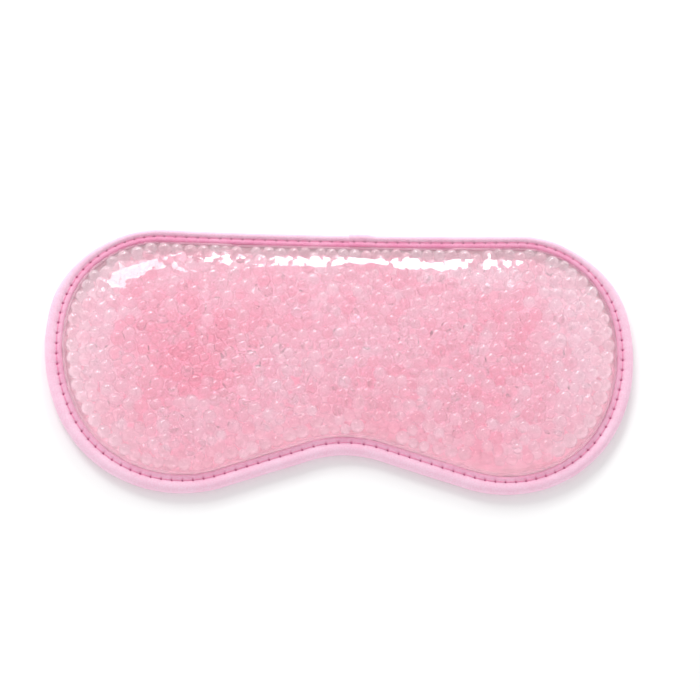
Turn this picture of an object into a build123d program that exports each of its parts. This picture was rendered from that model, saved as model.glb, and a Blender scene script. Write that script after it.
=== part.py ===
"""Gel-bead eye pillow: a clear film pouch of gel beads with a plush back panel, bound round its edge.

The pillow lies on its plush back.  +Z points out of the clear front, +Y to the brow edge, and the nose
arch opens towards -Y.  The origin is on the resting face, under the middle of the bounding box.
Dimensions are in millimetres.
"""

import math
import os

from build123d import *

# ---- Outline of the bound edge ----
width = 220.0
height = 102.0
side_radius = 66.0  # outer side of each lobe
side_rise = 4.9  # height of the side arcs' centres above the middle
brow_radius = 41.6  # upper corner of each lobe
cheek_radius = 49.1  # lower round of each lobe
brow_dip = 1.0  # how far the brow edge sinks between the lobes
arch_height = 14.4  # rise of the nose arch above the lowest point of the lobes
arch_radius = 40.0

# ---- Layers, upwards from the resting face ----
pile_thickness = 2.8  # plush panel, uncompressed
film_thickness = 0.3
tape_thickness = 1.0
tape_lift = 0.4  # the tape sits this far up in the pile, clear of the table
fold_radius = 1.9  # round of the tape's outer fold
rear_film_z = pile_thickness
front_film_z = rear_film_z + film_thickness
tape_top_z = front_film_z + film_thickness + tape_thickness

# ---- Binding and seam ----
tape_width = 6.4  # how far the tape reaches in over the front and the back
layer_gap = 0.2  # the stacked layers' cut edge stops this far inside the tape's fold
seam_inset = 4.4  # stitch line, from the outer edge
stitch_pitch = 4.0
stitch_length = 3.1
thread_width = 0.5
thread_height = 0.3

# ---- Pouch and beads ----
pouch_gap = 0.3  # between the tape's inner edge and the foot of the pouch wall
wall_lean = 35.0  # pouch wall from the vertical, in degrees
crown_radius = 14.0  # round between the pouch wall and its flat crown
pouch_height = 11.0  # outside, above the rear film
bead_diameter = 5.4
bead_clearance = 0.08


def toward(start, target, distance):
    """The point at a distance from start on the way to target."""
    return start + (target - start).normalized() * distance


def lobe_centre(radius, centre_y):
    """Centre of a lobe arc that touches the side arc from inside."""
    reach = side_radius - radius
    climb = math.asin((centre_y - side_rise) / reach)
    return side_centre + Vector(reach * math.cos(climb), reach * math.sin(climb))


side_centre = Vector(width / 2 - side_radius, side_rise)
brow_centre = lobe_centre(brow_radius, height / 2 - brow_radius)
cheek_centre = lobe_centre(cheek_radius, cheek_radius - height / 2)

# The brow edge between the lobes is one shallow hollow arc that runs smoothly into both lobes.
brow_middle = Vector(0, height / 2 - brow_dip)
drop = brow_middle.Y - brow_centre.Y
hollow_radius = (brow_centre.X**2 + drop**2 - brow_radius**2) / (2 * (brow_radius - drop))
hollow_centre = brow_middle + Vector(0, hollow_radius)

# A short straight runs from each cheek arc into the nose arch, touching both.
arch_top = Vector(0, arch_height - height / 2)
arch_centre = arch_top - Vector(0, arch_radius)
to_arch = arch_centre - cheek_centre
touch_angle = math.degrees(math.acos((cheek_radius + arch_radius) / to_arch.length))
touch_normal = to_arch.normalized().rotate(Axis.Z, touch_angle)

with BuildSketch() as outline:
    with BuildLine():
        brow_end = toward(brow_centre, hollow_centre, brow_radius)
        side_top = toward(side_centre, brow_centre, side_radius)
        side_bottom = toward(side_centre, cheek_centre, side_radius)
        cheek_end = cheek_centre + touch_normal * cheek_radius
        arch_start = arch_centre - touch_normal * arch_radius
        brow_edge = TangentArc(brow_middle, brow_end, tangent=(1, 0))
        corner = TangentArc(brow_end, side_top, tangent=brow_edge % 1)
        side = TangentArc(side_top, side_bottom, tangent=corner % 1)
        cheek = TangentArc(side_bottom, cheek_end, tangent=side % 1)
        Line(cheek_end, arch_start)
        TangentArc(arch_start, arch_top, tangent=touch_normal.rotate(Axis.Z, -90))
        mirror(about=Plane.YZ)
    make_face()


def inset_outline(inset):
    """The outline moved inwards, as a sketch on the XY plane."""
    with BuildSketch(mode=Mode.PRIVATE) as moved:
        add(outline.sketch)
        offset(amount=-inset, kind=Kind.ARC)
    return moved.sketch


layer_outline = inset_outline(tape_thickness + layer_gap)
tape_window = inset_outline(tape_width)

# ---- Plush back panel: full pile in the middle, pressed thinner under the tape ----
with BuildPart() as plush_back_panel:
    with BuildSketch():
        add(layer_outline)
    extrude(amount=pile_thickness)
    with BuildSketch():
        add(layer_outline)
        add(tape_window, mode=Mode.SUBTRACT)
    extrude(amount=tape_lift + tape_thickness, mode=Mode.SUBTRACT)

# ---- Rear film: the flat sheet that closes the pouch ----
with BuildPart() as rear_film:
    with BuildSketch(Plane.XY.offset(rear_film_z)):
        add(layer_outline)
    extrude(amount=film_thickness)


def pouch_solid(inset, rise, round_radius):
    """A pillow-shaped solid on the rear film: a leaning wall rounded over into a flat crown."""
    with BuildPart(mode=Mode.PRIVATE) as pouch:
        with BuildSketch(Plane.XY.offset(front_film_z)):
            add(inset_outline(inset))
        extrude(amount=rise, taper=wall_lean)
        fillet(pouch.faces().sort_by(Axis.Z)[-1].edges(), radius=round_radius)
    return pouch.part


def pouch_shrunk(depth):
    """The pouch's outer shape with its wall, round and crown all moved inwards by depth."""
    wall_inset = tape_width + pouch_gap + depth / math.cos(math.radians(wall_lean))
    return pouch_solid(wall_inset, pouch_height - depth, crown_radius - depth)


# ---- Front film: the domed clear sheet, with the flat flange that is welded to the rear film ----
with BuildPart() as front_film:
    with BuildSketch(Plane.XY.offset(front_film_z)):
        add(layer_outline)
    extrude(amount=film_thickness)
    add(pouch_shrunk(0))
    add(pouch_shrunk(film_thickness), mode=Mode.SUBTRACT)

# ---- Gel beads: two close-packed layers of loose balls that fill the pouch ----
bead_radius = bead_diameter / 2
bead_pitch = bead_diameter + 2 * bead_clearance
row_pitch = bead_pitch * math.sqrt(3) / 2
layer_pitch = bead_pitch * math.sqrt(2 / 3)
nest_shift = Vector(bead_pitch / 2, bead_pitch * math.sqrt(3) / 6)  # the second layer sits in the first's hollows
lowest_z = front_film_z + bead_radius + bead_clearance
film_inside = film_thickness + bead_clearance


def bead_room(layer_z):
    """The outline within which a bead's centre may lie, at one height under the domed film."""
    depth = film_inside + bead_radius
    lean = math.radians(wall_lean)
    round_radius = crown_radius - depth
    round_centre_z = front_film_z + pouch_height - crown_radius
    foot = tape_width + pouch_gap + depth / math.cos(lean)
    climb = layer_z - front_film_z
    wall = foot + climb * math.tan(lean)
    # the round starts where the wall's slope meets it
    start_z = round_centre_z + round_radius * math.sin(lean)
    start_inset = foot + (start_z - front_film_z) * math.tan(lean)
    centre_inset = start_inset + round_radius * math.cos(lean)
    if layer_z <= start_z:
        return inset_outline(wall)
    reach = math.sqrt(round_radius**2 - (layer_z - round_centre_z) ** 2)
    return inset_outline(centre_inset - reach)


def bead_places(layer):
    """Centres of one close-packed layer's beads."""
    layer_z = lowest_z + layer * layer_pitch
    room = bead_room(layer_z).face()
    columns = int(width / bead_pitch) + 2
    rows = int(height / row_pitch) + 2
    places = []
    for row in range(-rows // 2, rows // 2 + 1):
        for column in range(-columns // 2, columns // 2 + 1):
            stagger = (row % 2) * bead_pitch / 2
            place = Vector(column * bead_pitch + stagger, row * row_pitch) + nest_shift * layer
            if room.is_inside(place):
                places.append(place + Vector(0, 0, layer_z))
    return places


bead_centres = bead_places(0) + bead_places(1)

with BuildPart() as gel_beads:
    with Locations(bead_centres):
        Sphere(bead_diameter / 2)

# ---- Edge binding: one tape folded over the layers' edge ----
with BuildPart() as edge_binding:
    with BuildSketch(Plane.XY.offset(tape_lift)):
        add(outline.sketch)
    extrude(amount=tape_top_z - tape_lift)
    fillet(edge_binding.edges(), radius=fold_radius)
    with BuildSketch():
        add(tape_window)
    extrude(amount=2 * tape_top_z, mode=Mode.SUBTRACT)
    with BuildSketch(Plane.XY.offset(tape_lift + tape_thickness)):
        add(layer_outline)
    extrude(amount=tape_top_z - tape_lift - 2 * tape_thickness, mode=Mode.SUBTRACT)

# ---- Lockstitch seam: separate needle-thread stitches on the front and bobbin-thread stitches behind ----
seam_line = inset_outline(seam_inset).face().outer_wire()
stitch_count = round(seam_line.length / stitch_pitch)
stitch_places = []
for number in range(stitch_count):
    share = (number + 0.5) / stitch_count
    turn = seam_line.tangent_angle_at(share)
    stitch_places.append(Location(seam_line.position_at(share), (0, 0, turn)))

with BuildPart() as needle_stitches:
    with BuildSketch(Plane.XY.offset(tape_top_z)):
        with Locations(stitch_places):
            SlotOverall(stitch_length, thread_width)
    extrude(amount=thread_height)

with BuildPart() as bobbin_stitches:
    with BuildSketch(Plane.XY.offset(tape_lift - thread_height)):
        with Locations(stitch_places):
            SlotOverall(stitch_length, thread_width)
    extrude(amount=thread_height)

pieces = {
    "plush_back_panel": plush_back_panel,
    "rear_film": rear_film,
    "front_film": front_film,
    "gel_beads": gel_beads,
    "edge_binding": edge_binding,
    "needle_stitches": needle_stitches,
    "bobbin_stitches": bobbin_stitches,
}

os.makedirs("parts", exist_ok=True)
for name, piece in pieces.items():
    piece.part.label = name
    export_step(piece.part, f"parts/{name}.step")
print("beads", len(bead_centres), "stitches", stitch_count, "seam", round(seam_line.length, 1))
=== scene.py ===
# %% [markdown]
# # Gel-bead eye pillow
#
# The real pillow is a sewn thing with no hard parts. Two sheets of clear film are welded round their edge
# into a pouch, loose balls of gel fill the pouch, a plush panel lies behind it, and one plush tape is folded
# over the edge of all the layers and lockstitched through them.
#
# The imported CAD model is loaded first, because it fixes every size and place. Each step then makes one
# piece, and hides the plain CAD solid that the piece stands for.

# %% Load the frame
import math

import bmesh
import bpy
import numpy as np
from mathutils import Matrix, Vector
from mathutils.kdtree import KDTree


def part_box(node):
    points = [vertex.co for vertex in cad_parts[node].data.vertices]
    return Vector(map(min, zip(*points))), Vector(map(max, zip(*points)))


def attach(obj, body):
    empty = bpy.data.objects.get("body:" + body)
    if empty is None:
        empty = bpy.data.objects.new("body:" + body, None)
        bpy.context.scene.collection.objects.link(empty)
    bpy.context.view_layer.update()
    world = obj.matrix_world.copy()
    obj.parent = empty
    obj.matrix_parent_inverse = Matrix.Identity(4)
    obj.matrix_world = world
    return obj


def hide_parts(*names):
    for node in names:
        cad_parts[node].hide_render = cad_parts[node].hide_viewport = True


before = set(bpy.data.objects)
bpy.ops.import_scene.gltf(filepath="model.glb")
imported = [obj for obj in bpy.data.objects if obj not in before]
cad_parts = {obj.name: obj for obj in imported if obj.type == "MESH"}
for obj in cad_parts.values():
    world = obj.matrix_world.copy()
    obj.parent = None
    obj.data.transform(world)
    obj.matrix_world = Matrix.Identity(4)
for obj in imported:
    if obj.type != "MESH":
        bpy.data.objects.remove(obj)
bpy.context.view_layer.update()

MM = 0.001  # Blender's unit is the metre; a size in millimetres is written as a number times MM
random = np.random.default_rng(11)
print("CAD nodes:", ", ".join(sorted(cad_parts)))

# %% [markdown]
# ## The outline
#
# Every layer has the same outline: two round lobes, an almost straight brow edge and a nose arch. The
# outline could be drawn as a Bezier curve, but then each layer's own inset edge would have to be drawn
# again. Here it is a chain of arcs that touch each other. Each point of it keeps the direction that points
# into the pillow, so a point moved along that direction by any distance is a point of an inset edge.

# %% The outline as touching arcs
low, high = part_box("edge_binding")
HALF_WIDTH = high.x
HALF_HEIGHT = high.y
SIDE_RADIUS = 66.0 * MM
SIDE_RISE = 4.9 * MM
BROW_RADIUS = 41.6 * MM
CHEEK_RADIUS = 49.1 * MM
BROW_DIP = 1.0 * MM
ARCH_HEIGHT = 14.4 * MM
ARCH_RADIUS = 40.0 * MM
ARC_SAMPLES = 500

side_centre = Vector((HALF_WIDTH - SIDE_RADIUS, SIDE_RISE))


def lobe_centre(radius, centre_y):
    """Centre of a lobe arc that touches the side arc from inside."""
    reach = SIDE_RADIUS - radius
    climb = math.asin((centre_y - SIDE_RISE) / reach)
    return side_centre + reach * Vector((math.cos(climb), math.sin(climb)))


def bearing(start, end):
    """Angle of the direction from one point to another."""
    return math.atan2(end.y - start.y, end.x - start.x)


def arc(centre, radius, start, end, hollow=False):
    """Points along an arc, and for each the direction that points into the pillow."""
    angles = np.linspace(start, end, ARC_SAMPLES)
    away = np.stack((np.cos(angles), np.sin(angles)), axis=1)
    return np.array(centre) + radius * away, away if hollow else -away


brow_centre = lobe_centre(BROW_RADIUS, HALF_HEIGHT - BROW_RADIUS)
cheek_centre = lobe_centre(CHEEK_RADIUS, CHEEK_RADIUS - HALF_HEIGHT)
drop = HALF_HEIGHT - BROW_DIP - brow_centre.y
hollow_radius = (brow_centre.x**2 + drop**2 - BROW_RADIUS**2) / (2 * (BROW_RADIUS - drop))
hollow_centre = Vector((0, HALF_HEIGHT - BROW_DIP + hollow_radius))
arch_centre = Vector((0, ARCH_HEIGHT - HALF_HEIGHT - ARCH_RADIUS))
to_arch = arch_centre - cheek_centre
touch = bearing(cheek_centre, arch_centre) + math.acos((CHEEK_RADIUS + ARCH_RADIUS) / to_arch.length)
touch_normal = np.array((math.cos(touch), math.sin(touch)))
straight_share = np.linspace(0, 1, ARC_SAMPLES)[:, None]
straight_start = np.array(cheek_centre) + CHEEK_RADIUS * touch_normal
straight_end = np.array(arch_centre) - ARCH_RADIUS * touch_normal
straight = straight_start + (straight_end - straight_start) * straight_share
brow_turn = bearing(brow_centre, hollow_centre)
side_top = bearing(side_centre, brow_centre)
side_bottom = bearing(side_centre, cheek_centre)

# from the middle of the brow edge, clockwise seen from above, to the middle of the nose arch
stretches = [
    arc(hollow_centre, hollow_radius, -math.pi / 2, brow_turn - math.pi, hollow=True),
    arc(brow_centre, BROW_RADIUS, brow_turn, side_top),
    arc(side_centre, SIDE_RADIUS, side_top, side_bottom),
    arc(cheek_centre, CHEEK_RADIUS, side_bottom, touch),
    (straight, np.tile(-touch_normal, (ARC_SAMPLES, 1))),
    arc(arch_centre, ARCH_RADIUS, touch + math.pi, math.pi / 2, hollow=True),
]
half_points = np.concatenate([points for points, inward in stretches])
half_inward = np.concatenate([inward for points, inward in stretches])
MIRROR = np.array((-1, 1))
rim_points = np.concatenate((half_points, half_points[::-1] * MIRROR))
rim_inward = np.concatenate((half_inward, half_inward[::-1] * MIRROR))
rim_steps = np.linalg.norm(np.diff(rim_points, axis=0, append=rim_points[:1]), axis=1)
rim_travel = np.concatenate(((0,), np.cumsum(rim_steps)[:-1]))
RIM_LENGTH = rim_steps.sum()
print(f"outline {RIM_LENGTH / MM:.0f} mm round")


def rim(share, inset=0.0):
    """Points of the edge that is inset from the outline, at shares from 0 to 1 of the way round."""
    travel = np.asarray(share) * RIM_LENGTH
    point = [np.interp(travel, rim_travel, rim_points[:, axis], period=RIM_LENGTH) for axis in (0, 1)]
    inward = [np.interp(travel, rim_travel, rim_inward[:, axis], period=RIM_LENGTH) for axis in (0, 1)]
    return np.stack([point[axis] + inset * inward[axis] for axis in (0, 1)], axis=-1)


# %% [markdown]
# ## A map of the inside
#
# The film and the panels are wide sheets, and what they do depends on how far a point lies from the edge.
# A fine square map of that distance answers the question for thousands of points at once. A KD-tree finds
# the nearest point of the rim for each cell of the map.

# %% The distance map
CELL = 0.62 * MM
columns = int(2 * HALF_WIDTH / CELL) // 2 * 2
rows = int(2 * HALF_HEIGHT / CELL) // 2 * 2
axis_x = (np.arange(columns + 1) - columns / 2) * CELL
axis_y = (np.arange(rows + 1) - rows / 2) * CELL
map_x, map_y = np.meshgrid(axis_x, axis_y)
RIM_STATIONS = 2600
station_points = rim(np.arange(RIM_STATIONS) / RIM_STATIONS)
station_inward = rim(np.arange(RIM_STATIONS) / RIM_STATIONS, 1.0) - station_points
tree = KDTree(RIM_STATIONS)
for number, (x, y) in enumerate(station_points):
    tree.insert((x, y, 0), number)
tree.balance()
nearest = np.array([tree.find((x, y, 0))[1] for x, y in zip(map_x.flat, map_y.flat)]).reshape(map_x.shape)
offset_x = map_x - station_points[nearest, 0]
offset_y = map_y - station_points[nearest, 1]
inside_sign = np.sign(offset_x * station_inward[nearest, 0] + offset_y * station_inward[nearest, 1])
inset_map = inside_sign * np.hypot(offset_x, offset_y)
inward_map = station_inward[nearest]


def read_map(field, x, y):
    """The map's value in the cell nearest to each point."""
    column = np.clip(np.rint(x / CELL + columns / 2).astype(int), 0, columns)
    row = np.clip(np.rint(y / CELL + rows / 2).astype(int), 0, rows)
    return field[row, column]


print(f"map of {columns + 1} by {rows + 1} cells, deepest point {inset_map.max() / MM:.1f} mm from the edge")

# %% [markdown]
# ## The pouch's shape
#
# A pouch of two welded sheets takes the shape of a cushion: it climbs steeply over the outermost beads and
# then eases over to an almost flat crown. One formula gives its height from the distance to the foot. The
# beads press against it from inside, and the film is laid over them later.

# %% Heights of the pouch
TAPE_WIDTH = 6.4 * MM
FILM = 0.3 * MM
FOOT_INSET = TAPE_WIDTH - 0.05 * MM
floor_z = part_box("rear_film")[1].z
crown_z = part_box("front_film")[1].z - 0.3 * MM
FIRST_RISE = 3.6 * MM  # the film climbs this much over the outermost beads
FIRST_REACH = 1.5 * MM
SHOULDER = 22 * MM  # width of the slope from there to the crown


def pouch_height(inset):
    """Height of the outside of the pouch at a distance from the pillow's edge."""
    travel = np.maximum(inset - FOOT_INSET, 0)
    first = FIRST_RISE * (1 - np.exp(-travel / FIRST_REACH))
    rest = crown_z - floor_z - FILM - FIRST_RISE
    return floor_z + FILM + first + rest * (1 - (1 - np.minimum(travel / SHOULDER, 1)) ** 2)


dome_map = pouch_height(inset_map)
slope_map = np.hypot(*np.gradient(dome_map, CELL))
pouch_volume = ((dome_map - floor_z) * (inset_map > FOOT_INSET)).sum() * CELL**2
print(f"pouch {pouch_volume / MM**3 / 1000:.0f} ml, crown {crown_z / MM:.1f} mm above the table")

# %% [markdown]
# ## The gel beads
#
# The beads are swollen balls of water gel, four to six millimetres across, poured in loose. Rows and columns
# of them would look like a tray of pills. Blender's rigid bodies could drop them into the pouch. Here a
# short relaxation makes the heap instead: every ball sinks a little, and then any two that overlap push
# each other apart, many times over. Some overlap is left, a third of a millimetre on average and two at the
# deepest, because the balls stay round where real gel would squash.

# %% Let the beads settle
BEAD_SMALL = 1.9 * MM
BEAD_LARGE = 3.0 * MM
FILL = 0.64
SETTLE_STEPS = 220
mean_volume = 4 / 3 * math.pi * ((BEAD_SMALL + BEAD_LARGE) / 2) ** 3
bead_count = int(FILL * pouch_volume / mean_volume)
home = np.flatnonzero(inset_map > FOOT_INSET + 5 * MM)
start = random.choice(home, bead_count, replace=False)
beads = np.stack((map_x.flat[start], map_y.flat[start], np.zeros(bead_count)), axis=1)
# the biggest beads have rolled to the two ends
size_share = random.uniform(0, 0.8, bead_count) + 0.4 * (np.abs(beads[:, 0]) / HALF_WIDTH) ** 3
radii = BEAD_SMALL + (BEAD_LARGE - BEAD_SMALL) * np.minimum(size_share, 1)
beads[:, 2] = floor_z + radii + random.uniform(0, 1, bead_count) * (crown_z - floor_z - 2 * radii)
SINK = 0.02 * MM
SLACK = 4.5 * MM  # the beads have slumped away from the seam at one cheek
SLACK_PLACE = np.array((58, -44)) * MM
SLACK_REACH = 26 * MM
BEAD_ROOM = 0.8  # share of its radius by which a bead keeps off the foot of the film
YIELD = 0.8  # share of a bead's push into the film that is undone in one pass
PUSH_MOST = 1 * MM
gap_wanted = radii[:, None] + radii[None, :]

for step in range(SETTLE_STEPS):
    beads[:, 2] -= SINK
    for pass_number in range(2):
        squared = (beads**2).sum(axis=1)
        apart = squared[:, None] + squared[None, :] - 2 * beads @ beads.T
        first, second = np.nonzero(np.triu(apart < gap_wanted**2, 1))
        between = beads[second] - beads[first]
        distance = np.maximum(np.linalg.norm(between, axis=1), 1e-6)
        overlap = gap_wanted[first, second] - distance
        shove = between * (0.45 * overlap / distance)[:, None]
        np.add.at(beads, first, -shove)
        np.add.at(beads, second, shove)
        # the film's slope pushes a bead inwards and down, and the rear film holds it up
        inset = read_map(inset_map, beads[:, 0], beads[:, 1])
        inward = read_map(inward_map, beads[:, 0], beads[:, 1])
        slope = read_map(slope_map, beads[:, 0], beads[:, 1])
        room = (pouch_height(inset) - beads[:, 2]) / np.hypot(1, slope) - radii - FILM
        slack = SLACK * np.exp(-(((beads[:, :2] - SLACK_PLACE) ** 2).sum(axis=1)) / SLACK_REACH**2)
        off_foot = FOOT_INSET + radii * BEAD_ROOM + slack - inset
        push = np.clip(-room, 0, PUSH_MOST) + np.clip(off_foot, 0, 2 * PUSH_MOST)
        lean = slope / np.hypot(1, slope)
        beads[:, :2] += inward * (push * np.maximum(lean, 0.3))[:, None]
        beads[:, 2] -= np.clip(-room, 0, PUSH_MOST) * YIELD
        beads[:, 2] = np.maximum(beads[:, 2], floor_z + radii)
print(f"{bead_count} beads, deepest overlap {overlap.max() / MM:.2f} mm, mean {overlap.mean() / MM:.2f} mm")

# %% [markdown]
# ## Small helpers for meshes and materials
#
# A sheet or a tube is a grid of quads whose points are moved to their places, so one function makes the
# grid with bmesh and asks a formula where each point goes. The grid's own UV map stays with it. Materials
# are chains of nodes, and one function adds a node with its settings and its links.

# %% Helpers
def finish_piece(name, bm, material, replaced):
    """Turns a bmesh into a smooth-shaded piece that rides on the pillow and hides its CAD solid."""
    mesh = bpy.data.meshes.new(name)
    bm.to_mesh(mesh)
    bm.free()
    mesh.shade_smooth()
    mesh.materials.append(material)
    piece = bpy.data.objects.new(name, mesh)
    bpy.context.scene.collection.objects.link(piece)
    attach(piece, "root")
    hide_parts(replaced)
    print(name, len(mesh.polygons), "faces")
    return piece


def mapped_grid(across, along, place):
    """A bmesh grid whose points go where place(u, v) says; u and v run from 0 to 1 and are its UV map."""
    bm = bmesh.new()
    bm.loops.layers.uv.new("UVMap")
    bmesh.ops.create_grid(bm, x_segments=across, y_segments=along, size=0.5, calc_uvs=True)
    flat = np.array([vert.co[:] for vert in bm.verts])
    places = place(flat[:, 0] + 0.5, flat[:, 1] + 0.5)
    for vert, co in zip(bm.verts, places):
        vert.co = co
    return bm


def repeated_ball(places, segments, rings):
    """A bmesh of many balls, one for each matrix. The first is made by an operator, the rest are copies."""
    bm = bmesh.new()
    bmesh.ops.create_uvsphere(bm, u_segments=segments, v_segments=rings, radius=1)
    ball = bpy.data.meshes.new("ball")
    bm.to_mesh(ball)
    bm.clear()
    for place in places:
        copy = ball.copy()
        copy.transform(place)
        bm.from_mesh(copy)
        bpy.data.meshes.remove(copy)
    bpy.data.meshes.remove(ball)
    return bm


def colour(code):
    """A colour for a socket, from an sRGB hex code."""
    channels = [int(code[start : start + 2], 16) / 255 for start in (1, 3, 5)]
    linear = [c / 12.92 if c <= 0.04045 else ((c + 0.055) / 1.055) ** 2.4 for c in channels]
    return (*linear, 1.0)


def new_material(name):
    """An empty node material, and its output node."""
    material = bpy.data.materials.new(name)
    material.use_nodes = True
    material.node_tree.nodes.clear()
    return material, material.node_tree.nodes.new("ShaderNodeOutputMaterial")


def add_node(material, kind, settings=None, **inputs):
    """Adds a node. A socket's value is a number, a colour or another node's output to link from."""
    node = material.node_tree.nodes.new(kind)
    for key, value in (settings or {}).items():
        setattr(node, key, value)
    for key, value in inputs.items():
        socket = node.inputs[int(key[1:])] if key[1:].isdigit() else node.inputs[key.replace("_", " ")]
        if isinstance(value, bpy.types.NodeSocket):
            material.node_tree.links.new(value, socket)
        else:
            socket.default_value = value
    return node


# %% [markdown]
# ## Gel
#
# The beads are clear polyacrylate gel, which is nearly all water, so light bends in them as it does in water.
# Each one is a small lens: it shows a bright rim, a dark underside and a bent picture of the pink panel
# behind it. Lamps have to reach that panel through several layers of balls, and Cycles treats glass as a
# wall for a lamp's direct light. So a ray that is looking for a lamp sees a faintly pink see-through shader.

# %% Gel material
def make_gel():
    material, output = new_material("water_gel_swollen")
    place = add_node(material, "ShaderNodeTexCoord")
    # dye pools in some beads more than in others, and over patches a few centimetres wide
    patches = add_node(material, "ShaderNodeTexNoise", Vector=place.outputs["Object"], Scale=26.0, Detail=2.0)
    dye = add_node(material, "ShaderNodeAttribute", {"attribute_name": "dye"})
    strength = add_node(
        material, "ShaderNodeMath", {"operation": "MULTIPLY_ADD", "use_clamp": True},
        i0=patches.outputs[0], i1=0.8, i2=dye.outputs["Fac"],
    )
    tint = add_node(
        material, "ShaderNodeMix", {"data_type": "RGBA"},
        i0=strength.outputs[0], i6=colour("#fffafd"), i7=colour("#ffdee9"),
    )
    gel = add_node(
        material, "ShaderNodeBsdfPrincipled",
        Base_Color=tint.outputs[2], Roughness=0.02, IOR=1.34, Transmission_Weight=0.88,
        Coat_Weight=1.0, Coat_Roughness=0.02,
    )
    for_lamps = add_node(material, "ShaderNodeBsdfTransparent", Color=colour("#fff9fb"))
    path = add_node(material, "ShaderNodeLightPath")
    mixed = add_node(
        material, "ShaderNodeMixShader",
        i0=path.outputs["Is Shadow Ray"], i1=gel.outputs[0], i2=for_lamps.outputs[0],
    )
    material.node_tree.links.new(mixed.outputs[0], output.inputs[0])
    return material


gel_material = make_gel()

# %% Bead meshes
def bead_mesh(chosen, segments, rings):
    """One bmesh of balls, each turned its own way so that their facets don't line up."""
    places = []
    for index in chosen:
        turn = Matrix.Rotation(random.uniform(0, math.pi), 4, random.normal(size=3))
        places.append(Matrix.Translation(beads[index]) @ turn @ Matrix.Scale(radii[index], 4))
    return repeated_ball(places, segments, rings)


order = np.argsort(-beads[:, 2])
upper = order[beads[order, 2] > floor_z + 0.5 * (crown_z - floor_z)]
lower = order[len(upper) :]
# the deepest pink pool lies in the left lobe, and the beads at the two ends are the palest
POOL_PLACE = np.array((-58, -2)) * MM
POOL_REACH = np.array((20, 16)) * MM
PALE_FROM = 75 * MM
PALE_OVER = 20 * MM
dye_amount = random.uniform(-0.6, 0.4, bead_count)
from_pool = (((beads[:, :2] - POOL_PLACE) / POOL_REACH) ** 2).sum(axis=1)
paleness = np.clip((np.abs(beads[:, 0]) - PALE_FROM) / PALE_OVER, 0, 1)
dye_amount += 0.6 * np.exp(-from_pool) - 0.5 * paleness


def dye_beads(piece, chosen):
    """Writes each bead's share of dye on all of its vertices."""
    corners = len(piece.data.vertices) // len(chosen)
    layer = piece.data.attributes.new("dye", "FLOAT", "POINT")
    layer.data.foreach_set("value", np.repeat(dye_amount[chosen], corners))


dye_beads(finish_piece("gel_beads_upper", bead_mesh(upper, 12, 8), gel_material, "gel_beads"), upper)
dye_beads(finish_piece("gel_beads_lower", bead_mesh(lower, 10, 6), gel_material, "gel_beads"), lower)

# %% [markdown]
# ## The clear front film
#
# The film is soft clear vinyl, a third of a millimetre thick. It lies on the beads: each bead lifts it a
# little, and between beads it sags and stays smooth. Blender's Cloth is the usual tool for a drape. Here the
# drape is worked out on the map instead. The tops of the beads make a height field, and the film is relaxed
# over it: each cell moves to the average of its neighbours, and never below the beads.

# %% Drape the film
TAUT = 0.25  # how far the film keeps to the free shape of the pouch instead of the beads
DRAPE_STEPS = 60


def blur(field, times=1):
    """Averages each cell with its four neighbours."""
    for repeat in range(times):
        padded = np.pad(field, 1, mode="edge")
        field = (padded[1:-1, :-2] + padded[1:-1, 2:] + padded[:-2, 1:-1] + padded[2:, 1:-1]) / 4
    return field


WINDOW_REACH = int(BEAD_LARGE / CELL) + 1


def window_round(x, y):
    """The square of map cells that a bead at x, y can cover."""
    column = int(round(x / CELL + columns / 2))
    row = int(round(y / CELL + rows / 2))
    return (
        slice(row - WINDOW_REACH, row + WINDOW_REACH + 1),
        slice(column - WINDOW_REACH, column + WINDOW_REACH + 1),
    )


bead_tops = np.full(map_x.shape, floor_z)
for (x, y, z), radius in zip(beads, radii):
    window = window_round(x, y)
    inside = radius**2 - (map_x[window] - x) ** 2 - (map_y[window] - y) ** 2
    cap = np.where(inside > 0, z + np.sqrt(np.maximum(inside, 0)), floor_z)
    bead_tops[window] = np.maximum(bead_tops[window], cap)
on_foot = inset_map < FOOT_INSET
film_map = dome_map.copy()
for step in range(DRAPE_STEPS):
    film_map = np.maximum(blur(film_map, 2), bead_tops + FILM)
    film_map[on_foot] = dome_map[on_foot]
film_map = blur(film_map, 2)
film_map = TAUT * dome_map + (1 - TAUT) * film_map
# the weld gathers the film a little, so it is puckered just inside the binding
PUCKER_INSET = 13 * MM
PUCKER_REACH = 5 * MM
PUCKER_HEIGHT = 0.4 * MM
pucker = np.exp(-(((inset_map - PUCKER_INSET) / PUCKER_REACH) ** 2))
wide_folds = np.sin(map_x / (11 * MM) + 1.2)
fine_folds = np.sin(map_x / (5.3 * MM))
film_map += PUCKER_HEIGHT * pucker * (wide_folds * 0.6 + fine_folds * 0.4)
film_map[on_foot] = dome_map[on_foot]
print(f"film from {film_map[~on_foot].min() / MM:.1f} to {film_map.max() / MM:.1f} mm above the table")

# %% [markdown]
# ## Clear vinyl
#
# Plasticised vinyl film is calendered between polished rollers, so it is glossy and clear. Thin film hardly
# bends light, so it is a see-through shader and a mirror, mixed by Fresnel's law. That is also quick to
# render: light from the lamps goes straight through it.

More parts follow.
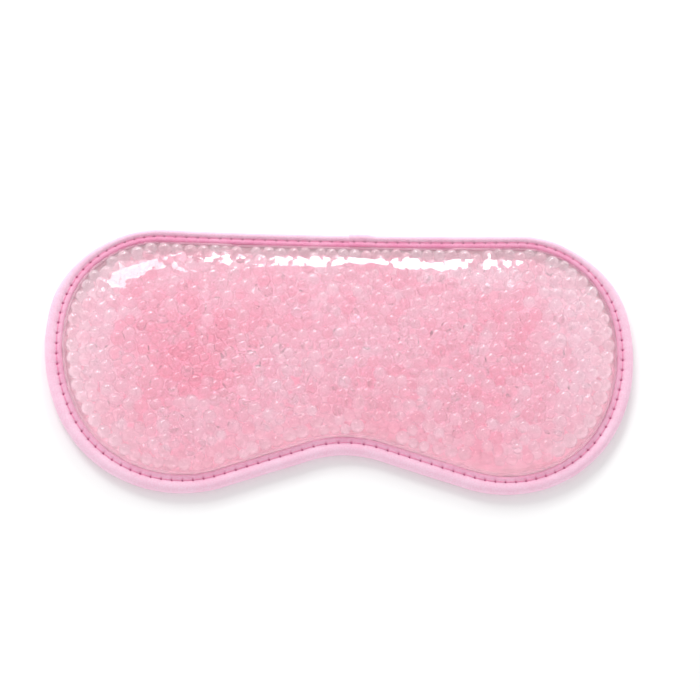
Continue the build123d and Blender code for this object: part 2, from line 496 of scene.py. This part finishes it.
# %% Film material
def make_film(name, haze):
    material, output = new_material(name)
    place = add_node(material, "ShaderNodeTexCoord")
    # fine waves left by the rollers, a few millimetres long
    waves = add_node(material, "ShaderNodeTexNoise", Vector=place.outputs["Object"], Scale=320.0, Detail=2.0)
    bump = add_node(material, "ShaderNodeBump", Strength=0.10, Distance=0.2 * MM, Height=waves.outputs[0])
    fresnel = add_node(material, "ShaderNodeFresnel", IOR=1.53, Normal=bump.outputs[0])
    # only the side that faces the air mirrors: from inside, Fresnel's law would shut the film like a wall
    side = add_node(material, "ShaderNodeNewGeometry")
    gloss = add_node(
        material, "ShaderNodeMix", {"data_type": "FLOAT"},
        i0=side.outputs["Backfacing"], i2=fresnel.outputs[0], i3=0.0,
    )
    clear = add_node(material, "ShaderNodeBsdfTransparent", Color=colour("#fbfbfb"))
    milky = add_node(material, "ShaderNodeBsdfDiffuse", Color=colour("#fbdfe8"))
    # the weld line is pressed by a hot bar, which leaves it cloudy. The milky white there is also a painted
    # highlight: it lightens the shade at the film's foot and stands in for the reflection along the weld
    weld = add_node(material, "ShaderNodeAttribute", {"attribute_name": "weld"})
    cloud_and_highlight = add_node(
        material, "ShaderNodeMath", {"operation": "MULTIPLY_ADD"}, i0=weld.outputs["Fac"], i1=0.5, i2=haze
    )
    body = add_node(
        material, "ShaderNodeMixShader", i0=cloud_and_highlight.outputs[0], i1=clear.outputs[0], i2=milky.outputs[0]
    )
    mirror = add_node(
        material, "ShaderNodeBsdfAnisotropic", Color=colour("#ffffff"), Roughness=0.06, Normal=bump.outputs[0]
    )
    surface = add_node(
        material, "ShaderNodeMixShader", i0=gloss.outputs[0], i1=body.outputs[0], i2=mirror.outputs[0]
    )
    material.node_tree.links.new(surface.outputs[0], output.inputs[0])
    return material


front_film_material = make_film("soft_vinyl_calendered", 0.045)

# %% Front film mesh
def trimmed_sheet(heights, edge_inset, thickness, step=1):
    """A closed sheet cut to the outline: the map's cells further in than edge_inset, with a thickness."""
    bm = bmesh.new()
    bmesh.ops.create_grid(bm, x_segments=columns // step, y_segments=rows // step, size=1)
    flat = np.array([vert.co[:] for vert in bm.verts])
    x = flat[:, 0] * (columns // step * step) / 2 * CELL
    y = flat[:, 1] * (rows // step * step) / 2 * CELL
    z = read_map(heights, x, y)
    keep = read_map(inset_map, x, y) > edge_inset
    verts = list(bm.verts)
    for vert, co in zip(verts, zip(x, y, z)):
        vert.co = co
    outside = [vert for vert, kept in zip(verts, keep) if not kept]
    bmesh.ops.delete(bm, geom=outside, context="VERTS")
    bmesh.ops.recalc_face_normals(bm, faces=bm.faces)
    if sum(face.normal.z for face in bm.faces) < 0:
        bmesh.ops.reverse_faces(bm, faces=bm.faces)
    bmesh.ops.solidify(bm, geom=bm.faces, thickness=thickness)
    return bm


front_film = finish_piece(
    "front_film_dome", trimmed_sheet(film_map, 3.0 * MM, FILM), front_film_material, "front_film"
)
WELD_WIDTH = 0.8 * MM


def mark_weld_and_highlight(piece):
    """Store how much of the cloudy weld line there is at each point of a film. The same amount places the
    painted highlight along the film's foot.
    """
    flat = np.array([vert.co[:] for vert in piece.data.vertices])
    from_weld = (read_map(inset_map, flat[:, 0], flat[:, 1]) - FOOT_INSET) / WELD_WIDTH
    layer = piece.data.attributes.new("weld", "FLOAT", "POINT")
    layer.data.foreach_set("value", np.exp(-(from_weld**2)))


mark_weld_and_highlight(front_film)

# %% [markdown]
# ## Plush
#
# The tape and the back panel are polyester plush: a knitted ground with a dense pile about two millimetres
# long, sheared level. A pile scatters light towards grazing views, which is what Sheen on the Principled
# shader is for. Its tips catch light and its roots are deep pink, and the pile leans a little differently
# from patch to patch. The single fibres are too thin to draw, so the bump shows tufts of about half a
# millimetre.

# %% Plush material
def make_plush(name, tips, roots, tuft):
    material, output = new_material(name)
    place = add_node(material, "ShaderNodeTexCoord")
    tufts = add_node(
        material, "ShaderNodeTexNoise", Vector=place.outputs["Object"],
        Scale=1 / tuft, Detail=3.0, Roughness=0.65,
    )
    lean = add_node(
        material, "ShaderNodeTexNoise", Vector=place.outputs["Object"], Scale=1 / (9 * MM), Detail=2.0
    )
    # the pressed attribute deepens the colour towards the roots: partly crushed pile, partly painted shade in
    # the tape's seam and hem, and painted light and shade under and between the beads on the panel
    depth_and_painted_light = add_node(material, "ShaderNodeAttribute", {"attribute_name": "pressed"})
    shade = add_node(
        material, "ShaderNodeMath", {"operation": "MULTIPLY_ADD"},
        i0=tufts.outputs[0], i1=0.9, i2=depth_and_painted_light.outputs["Fac"],
    )
    patch = add_node(
        material, "ShaderNodeMath", {"operation": "MULTIPLY_ADD"},
        i0=lean.outputs[0], i1=0.5, i2=shade.outputs[0],
    )
    share = add_node(
        material, "ShaderNodeMapRange", i0=patch.outputs[0], i1=0.45, i2=1.5, i3=0.0, i4=1.0
    )
    tone = add_node(
        material, "ShaderNodeMix", {"data_type": "RGBA"},
        i0=share.outputs[0], i6=colour(tips), i7=colour(roots),
    )
    # no light comes out of a needle hole
    hole = add_node(material, "ShaderNodeMapRange", i0=depth_and_painted_light.outputs["Fac"], i1=1.1, i2=1.9, i3=0.0, i4=1.0)
    shown = add_node(
        material, "ShaderNodeMix", {"data_type": "RGBA"},
        i0=hole.outputs[0], i6=tone.outputs[2], i7=colour("#6b4766"),
    )
    bump = add_node(material, "ShaderNodeBump", Strength=0.5, Distance=0.25 * MM, Height=tufts.outputs[0])
    plush = add_node(
        material, "ShaderNodeBsdfPrincipled",
        Base_Color=shown.outputs[2], Roughness=0.85, Normal=bump.outputs[0],
        Sheen_Weight=0.5, Sheen_Roughness=0.45, Specular_IOR_Level=0.2,
    )
    plush.inputs["Sheen Tint"].default_value = colour("#ffe6f2")
    material.node_tree.links.new(plush.outputs[0], output.inputs[0])
    return material


tape_material = make_plush("polyester_plush_tape", "#f3d2e4", "#e285ac", 0.5 * MM)
panel_material = make_plush("polyester_plush_panel", "#fdd6e2", "#f090ae", 0.7 * MM)

# %% [markdown]
# ## The binding
#
# The tape is folded over the edge like the binding of a blanket. The stitching pulls it down along one line,
# so on each side it swells into a roll outside the stitches and a narrow hem inside them. Its section is a
# closed curve through a few points, and a grid rolled up along the rim carries that section round. At each
# needle hole the tape is dimpled, and between holes it puffs up again. The two ends of the tape lap at the
# middle of the brow edge.

# %% The tape's section
SEAM_INSET = 4.4 * MM
STITCH_PITCH = 4.0 * MM
SECTION_POINTS = 44
TAPE_STATIONS = 2200
# distance in from the edge and height above the table, in millimetres, round the folded tape
section_knots = np.array([
    (0.0, 2.4), (0.3, 3.7), (1.3, 4.75), (2.7, 4.95), (3.7, 4.5), (4.4, 4.0), (5.0, 4.35), (5.8, 4.45),
    (6.35, 4.1), (6.4, 3.6), (4.4, 3.45), (1.7, 3.45), (1.15, 2.4), (1.7, 1.4), (4.4, 1.4), (6.4, 1.3),
    (6.4, 0.8), (5.8, 0.45), (5.0, 0.45), (4.4, 0.75), (3.7, 0.4), (2.7, 0.25), (1.3, 0.35), (0.3, 1.1),
]) * MM


def smooth_loop(knots, count):
    """Points evenly spread along a Catmull-Rom curve through a closed loop of knots."""
    places = np.arange(count * 8) / (count * 8) * len(knots)
    whole = places.astype(int)
    t = (places - whole)[:, None]
    before, start, end, after = (knots[(whole + shift) % len(knots)] for shift in (-1, 0, 1, 2))
    curve = start + 0.5 * t * (
        end - before
        + t * (2 * before - 5 * start + 4 * end - after + t * (3 * (start - end) + after - before))
    )
    steps = np.linalg.norm(np.diff(curve, axis=0, append=curve[:1]), axis=1)
    travel = np.concatenate(((0,), np.cumsum(steps)[:-1]))
    wanted = np.arange(count) / count * steps.sum()
    return np.stack([np.interp(wanted, travel, curve[:, axis]) for axis in (0, 1)], axis=1)


section = smooth_loop(section_knots, SECTION_POINTS)
stitch_count = round((RIM_LENGTH - 2 * math.pi * SEAM_INSET) / STITCH_PITCH)
print(f"tape section of {SECTION_POINTS} points, {stitch_count} stitches")

# %% Roll the tape round the rim
LAP_START = 0.004  # share of the way round at which the tape's upper end lies
LAP_LENGTH = 0.018
TUCK = 1.5 * MM  # along the brow edge the roll is turned under by this much


def wander(share, waves, phase):
    """A smooth random-looking wave that joins up after one turn."""
    total = 0
    for number, turns in enumerate(waves, start=1):
        total = total + math.sqrt(1 / number) * np.sin(2 * math.pi * (turns * share + phase * number))
    return total / len(waves)


def near_hole(share, spread):
    """1 at a needle hole, falling to 0 within about two spreads of it along the seam."""
    along = (share * stitch_count - np.rint(share * stitch_count)) * STITCH_PITCH
    return np.exp(-((along / spread) ** 2))


def brow_share(y):
    """1 along the brow edge, falling to 0 down the sides."""
    return np.clip((y / HALF_HEIGHT - 0.5) / 0.4, 0, 1)


def place_tape(u, v):
    """Where a point of the tape goes: u round the section, v round the rim."""
    index = np.rint(u * SECTION_POINTS).astype(int) % SECTION_POINTS
    inset, height = section[index].T
    middle = 2.4 * MM
    upper = np.sign(height - middle)
    on_seam = np.exp(-(((inset - SEAM_INSET) / (0.4 * MM)) ** 2)) * (np.abs(height - middle) > 1.2 * MM)
    outside = np.clip((SEAM_INSET - inset) / SEAM_INSET, 0, 1)
    outer_skin = (np.abs(height - middle) > 1.3 * MM) | (inset < 1.0 * MM)
    puff = 0.03 * MM * (1 - 2 * near_hole(v, 1.1 * MM)) * (inset < 6.2 * MM) * outer_skin
    swell = 0.16 * MM * wander(v, (7, 13, 23, 41), 0.31) * outside
    lapped = np.clip((v - LAP_START) / 0.0006, 0, 1) * np.clip((LAP_START + LAP_LENGTH - v) / 0.006, 0, 1)
    lap = 0.45 * MM * lapped * outer_skin
    pit = 0.7 * MM * on_seam * near_hole(v, 0.35 * MM)
    lift = puff + swell + lap - pit
    height = np.maximum(height + upper * lift, 0.12 * MM)
    inner_edge = 0.18 * MM * wander(v, (5, 11, 19, 37), 0.77) * (inset > 5.5 * MM)
    inset = inset - outside * (swell + lap) + inner_edge
    flat = rim(v, 0.0)
    inward = rim(v, 1.0) - flat
    inset = inset + TUCK * brow_share(flat[:, 1]) * outside
    edge = flat + inward * inset[:, None]
    return np.column_stack((edge, height))


def pressed_and_shade_amount(u, v):
    """How deep in the stitching a point lies, from 0 on the roll to above 1 in a needle hole. The number
    deepens the tape's colour, partly as crushed pile and partly as painted shade in the seam groove, the hem
    and the needle holes.
    """
    index = np.rint(u * SECTION_POINTS).astype(int) % SECTION_POINTS
    inset, height = section[index].T
    seam_groove_shade = np.exp(-(((inset - SEAM_INSET) / (0.5 * MM)) ** 2))
    hem = 0.35 * np.clip((inset - SEAM_INSET) / MM, 0, 1)
    brow = brow_share(rim(v)[:, 1])
    holes = 2.2 * (1 - brow) * seam_groove_shade**3 * near_hole(v, 0.38 * MM)
    # along the brow edge the groove and the hem are painted deeper pink as painted shade on the tape's inner
    # slope, and the dark hole marks fade out there
    return (0.3 + 0.25 * brow) * seam_groove_shade + hem * (1 + 0.7 * brow) + holes


tape = mapped_grid(SECTION_POINTS, TAPE_STATIONS, place_tape)
pressed_and_painted_light_layer = tape.verts.layers.float.new("pressed")
grid_u, grid_v = np.meshgrid(np.arange(SECTION_POINTS + 1), np.arange(TAPE_STATIONS + 1))
amounts = pressed_and_shade_amount(grid_u.ravel() / SECTION_POINTS, grid_v.ravel() / TAPE_STATIONS)
for vert, amount in zip(tape.verts, amounts):
    vert[pressed_and_painted_light_layer] = amount
bmesh.ops.remove_doubles(tape, verts=tape.verts, dist=0.001 * MM)
bmesh.ops.recalc_face_normals(tape, faces=tape.faces)
binding = finish_piece("edge_binding_tape", tape, tape_material, "edge_binding")

# %% [markdown]
# ## The thread
#
# A lockstitch shows on each face as short lengths of thread, each diving into the same hole as the next. One
# stitch is a drawn-out ball with a few faces. It is set down between each two holes.

# %% Stitches
THREAD = 0.5 * MM


def make_thread():
    material, output = new_material("spun_polyester_thread")
    place = add_node(material, "ShaderNodeTexCoord")
    twist = add_node(material, "ShaderNodeTexNoise", Vector=place.outputs["Object"], Scale=1 / (0.6 * MM))
    tone = add_node(
        material, "ShaderNodeMix", {"data_type": "RGBA"},
        i0=twist.outputs[0], i6=colour("#f3a7c6"), i7=colour("#dd6f9d"),
    )
    thread = add_node(material, "ShaderNodeBsdfPrincipled", Base_Color=tone.outputs[2], Roughness=0.6)
    material.node_tree.links.new(thread.outputs[0], output.inputs[0])
    return material


thread_material = make_thread()


def stitch_mesh(height):
    """A row of stitches along the seam, one between each two needle holes."""
    places = []
    middles = (np.arange(stitch_count) + 0.5) / stitch_count
    for share in middles:
        (x, y), (ahead_x, ahead_y) = rim(np.array((share, share + 0.001)), SEAM_INSET)
        turn = Matrix.Rotation(math.atan2(ahead_y - y, ahead_x - x), 4, "Z")
        size = Matrix.Diagonal((STITCH_PITCH * 0.42, THREAD / 2, THREAD / 2, 1))
        places.append(Matrix.Translation((x, y, height)) @ turn @ size)
    return repeated_ball(places, 6, 8)


finish_piece("needle_thread", stitch_mesh(4.1 * MM), thread_material, "needle_stitches")
finish_piece("bobbin_thread", stitch_mesh(0.62 * MM), thread_material, "bobbin_stitches")

# %% [markdown]
# ## The rear film and the plush back panel
#
# The rear film is flat, and the panel behind it is a thick soft sheet that the binding pinches at its edge.
# Both are cut from the same map as the front film, the rear film on a coarser grid.

# %% Rear film
ripples = 0.12 * MM * np.sin(map_x / (9 * MM)) * np.sin(map_y / (7 * MM) + map_x / (31 * MM))
rear_map = floor_z - 0.14 * MM + np.clip(ripples, -0.1 * MM, 0.0)
rear_film_material = make_film("soft_vinyl_calendered_rear", 0.03)
rear_film = finish_piece(
    "rear_film_sheet", trimmed_sheet(rear_map, 2.0 * MM, 0.25 * MM, 4),
    rear_film_material, "rear_film",
)
mark_weld_and_highlight(rear_film)

# %% Back panel
PANEL_INSET = 1.5 * MM  # the panel's cut edge lies this far inside the tape's fold
OPEN_PILE = 0.7  # distance from a bead, in its radii, where the pile stands open
PILE_PRESSED = 0.6
ROOT_SHOW = 1.1
pinch = np.clip((inset_map - 1.4 * MM) / (9 * MM), 0, 1)
panel_top = 2.72 * MM - 0.1 * MM * (1 - pinch)
panel_under = 1.75 * MM * (1 - pinch) ** 2.2


def panel_mesh():
    """A closed slab between two height maps, cut to the outline."""
    bm = trimmed_sheet(np.zeros(map_x.shape), PANEL_INSET, MM)
    verts = list(bm.verts)
    flat = np.array([vert.co[:] for vert in verts])
    top = flat[:, 2] > -0.5 * MM
    over = read_map(panel_top, flat[:, 0], flat[:, 1])
    under = read_map(panel_under, flat[:, 0], flat[:, 1])
    for vert, z in zip(verts, np.where(top, over, under)):
        vert.co.z = z
    return bm


panel = panel_mesh()
# the lowest beads press the pile flat. Under each bead the pile is painted pale and between them deep pink:
# partly the pressed pile, and partly painted light standing in for the light the beads focus onto the panel,
# with painted shade between them
resting = beads[:, 2] < floor_z + 1.5 * radii
bead_light_footprint = np.full(map_x.shape, OPEN_PILE)
for (x, y, z), radius in zip(beads[resting], radii[resting]):
    window = window_round(x, y)
    away = np.hypot(map_x[window] - x, map_y[window] - y) / radius
    bead_light_footprint[window] = np.minimum(bead_light_footprint[window], away)
pressed_and_painted_light_layer = panel.verts.layers.float.new("pressed")
points = np.array([vert.co[:] for vert in panel.verts])
amounts = (read_map(bead_light_footprint, points[:, 0], points[:, 1]) - PILE_PRESSED) * ROOT_SHOW
for vert, amount, z in zip(panel.verts, amounts, points[:, 2]):
    vert[pressed_and_painted_light_layer] = amount if z > 2.5 * MM else 0.1
back_panel = finish_piece("plush_panel", panel, panel_material, "plush_back_panel")

# %% [markdown]
# ## Table, light and camera
#
# The pillow lies on a white table in a white studio. A softbox and a small strip stand low behind it, where
# the sloping film along the brow edge mirrors them, and they throw the short shadow in front. A larger
# softbox behind the left corner lights the rest. The world stands for the studio's walls and ceiling.

# %% Floor
def make_table():
    material, output = new_material("white_laminate_table")
    place = add_node(material, "ShaderNodeTexCoord")
    grain = add_node(material, "ShaderNodeTexNoise", Vector=place.outputs["Object"], Scale=60.0)
    tone = add_node(
        material, "ShaderNodeMix", {"data_type": "RGBA"},
        i0=grain.outputs[0], i6=colour("#fbfbfb"), i7=colour("#f8f8f8"),
    )
    top = add_node(material, "ShaderNodeBsdfPrincipled", Base_Color=tone.outputs[2], Roughness=0.7)
    material.node_tree.links.new(top.outputs[0], output.inputs[0])
    return material


table_top = bmesh.new()
bmesh.ops.create_grid(table_top, x_segments=1, y_segments=1, size=3)
floor_mesh = bpy.data.meshes.new("table")
table_top.to_mesh(floor_mesh)
table_top.free()
floor_mesh.materials.append(make_table())
table = bpy.data.objects.new("table", floor_mesh)
bpy.context.scene.collection.objects.link(table)


# %% Lights
def softbox(name, place, size, watts):
    """A rectangular lamp that faces the pillow."""
    lamp = bpy.data.lights.new(name, "AREA")
    lamp.shape = "RECTANGLE"
    lamp.size, lamp.size_y = size
    lamp.energy = watts
    holder = bpy.data.objects.new(name, lamp)
    holder.location = place
    holder.rotation_euler = (-Vector(place)).to_track_quat("-Z", "Y").to_euler()
    bpy.context.scene.collection.objects.link(holder)


softbox("low_softbox_behind", (0.085, 0.70, 0.34), (0.16, 0.20), 1.5)
softbox("low_strip_behind", (-0.07, 0.70, 0.34), (0.06, 0.05), 0.12)
softbox("corner_softbox", (-0.33, 0.70, 0.64), (0.46, 0.34), 3.9)

# bright walls and a dimmer ceiling: the balls bend the walls into their rims, and that draws their outlines
WALL_STRENGTH = 1.6
CEILING_STRENGTH = 0.46
world = bpy.data.worlds.new("white_studio")
world.use_nodes = True
nodes = world.node_tree.nodes
direction = nodes.new("ShaderNodeTexCoord")
height = nodes.new("ShaderNodeSeparateXYZ")
fade = nodes.new("ShaderNodeMapRange")
fade.inputs["To Min"].default_value = WALL_STRENGTH
fade.inputs["To Max"].default_value = CEILING_STRENGTH
world.node_tree.links.new(direction.outputs["Generated"], height.inputs[0])
world.node_tree.links.new(height.outputs["Z"], fade.inputs["Value"])
world.node_tree.links.new(fade.outputs[0], nodes["Background"].inputs["Strength"])
nodes["Background"].inputs["Color"].default_value = (1, 1, 1, 1)
bpy.context.scene.world = world
# light passes many clear layers on its way to the panel and back
bpy.context.scene.cycles.transparent_max_bounces = 64
bpy.context.scene.cycles.transmission_bounces = 24
bpy.context.scene.cycles.max_bounces = 24
bpy.context.scene.view_settings.view_transform = "Standard"

# %% Camera
VIEW_TILT = math.radians(16.0)  # off the pillow's face, towards the nose arch
VIEW_SIDE = math.radians(-5.22)
VIEW_ROLL = math.radians(0.70)
VIEW_DISTANCE = 0.600
aim = Vector((2.64 * MM, 4.2 * MM, 0))
away = Vector((
    math.sin(VIEW_SIDE) * math.cos(VIEW_TILT),
    -math.sin(VIEW_TILT),
    math.cos(VIEW_SIDE) * math.cos(VIEW_TILT),
))
camera_data = bpy.data.cameras.new("camera")
camera_data.lens = 82.4
camera_data.sensor_width = 36
camera = bpy.data.objects.new("camera", camera_data)
up = Vector((math.sin(VIEW_ROLL), math.cos(VIEW_ROLL), 0))
right = up.cross(away).normalized()
true_up = away.cross(right)
turned = Matrix((right, true_up, away)).transposed().to_4x4()
camera.matrix_world = Matrix.Translation(aim + away * VIEW_DISTANCE) @ turned
bpy.context.scene.collection.objects.link(camera)
bpy.context.scene.camera = camera

# %% Update the scene
bpy.context.view_layer.update()
